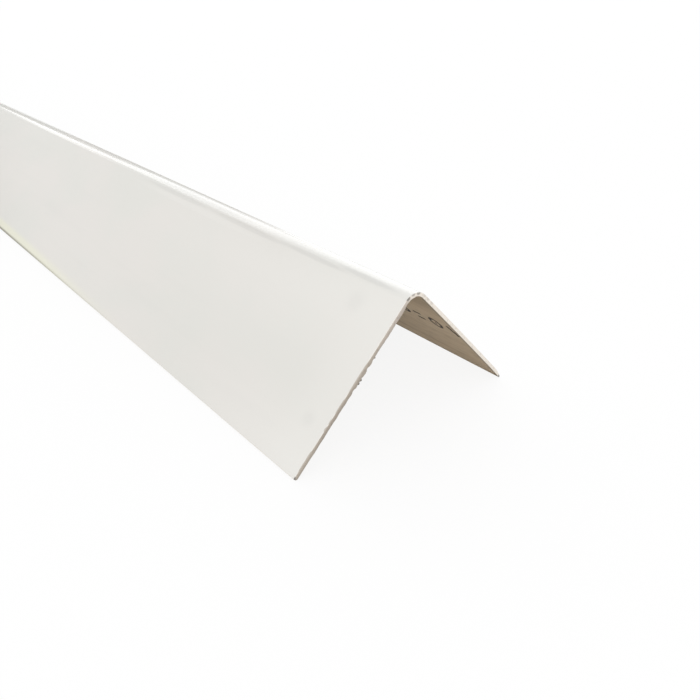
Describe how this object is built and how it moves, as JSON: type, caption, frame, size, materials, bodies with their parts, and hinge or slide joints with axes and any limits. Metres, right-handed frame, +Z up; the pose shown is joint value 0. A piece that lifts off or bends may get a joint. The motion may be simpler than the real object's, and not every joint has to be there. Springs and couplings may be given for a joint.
{
  "type": "corner flashing",
  "caption": "Straight length of thin white rigid vinyl angle with a rounded ridge, for covering the corner of a wall or roof edge.",
  "frame": {"origin": "middle of the length, on the floor under the ridge", "axes": "+Y along the length, away from the sawn end; +Z up through the rounded ridge; +X towards the right leg"},
  "size_m": [0.1056, 3.048, 0.0529],
  "materials": {
    "white_vinyl": "smooth semi-gloss off-white rigid vinyl, sawn and rough at one end"
  },
  "bodies": {
    "root": {"corner_flashing": "white_vinyl"}
  },
  "joints": []
}
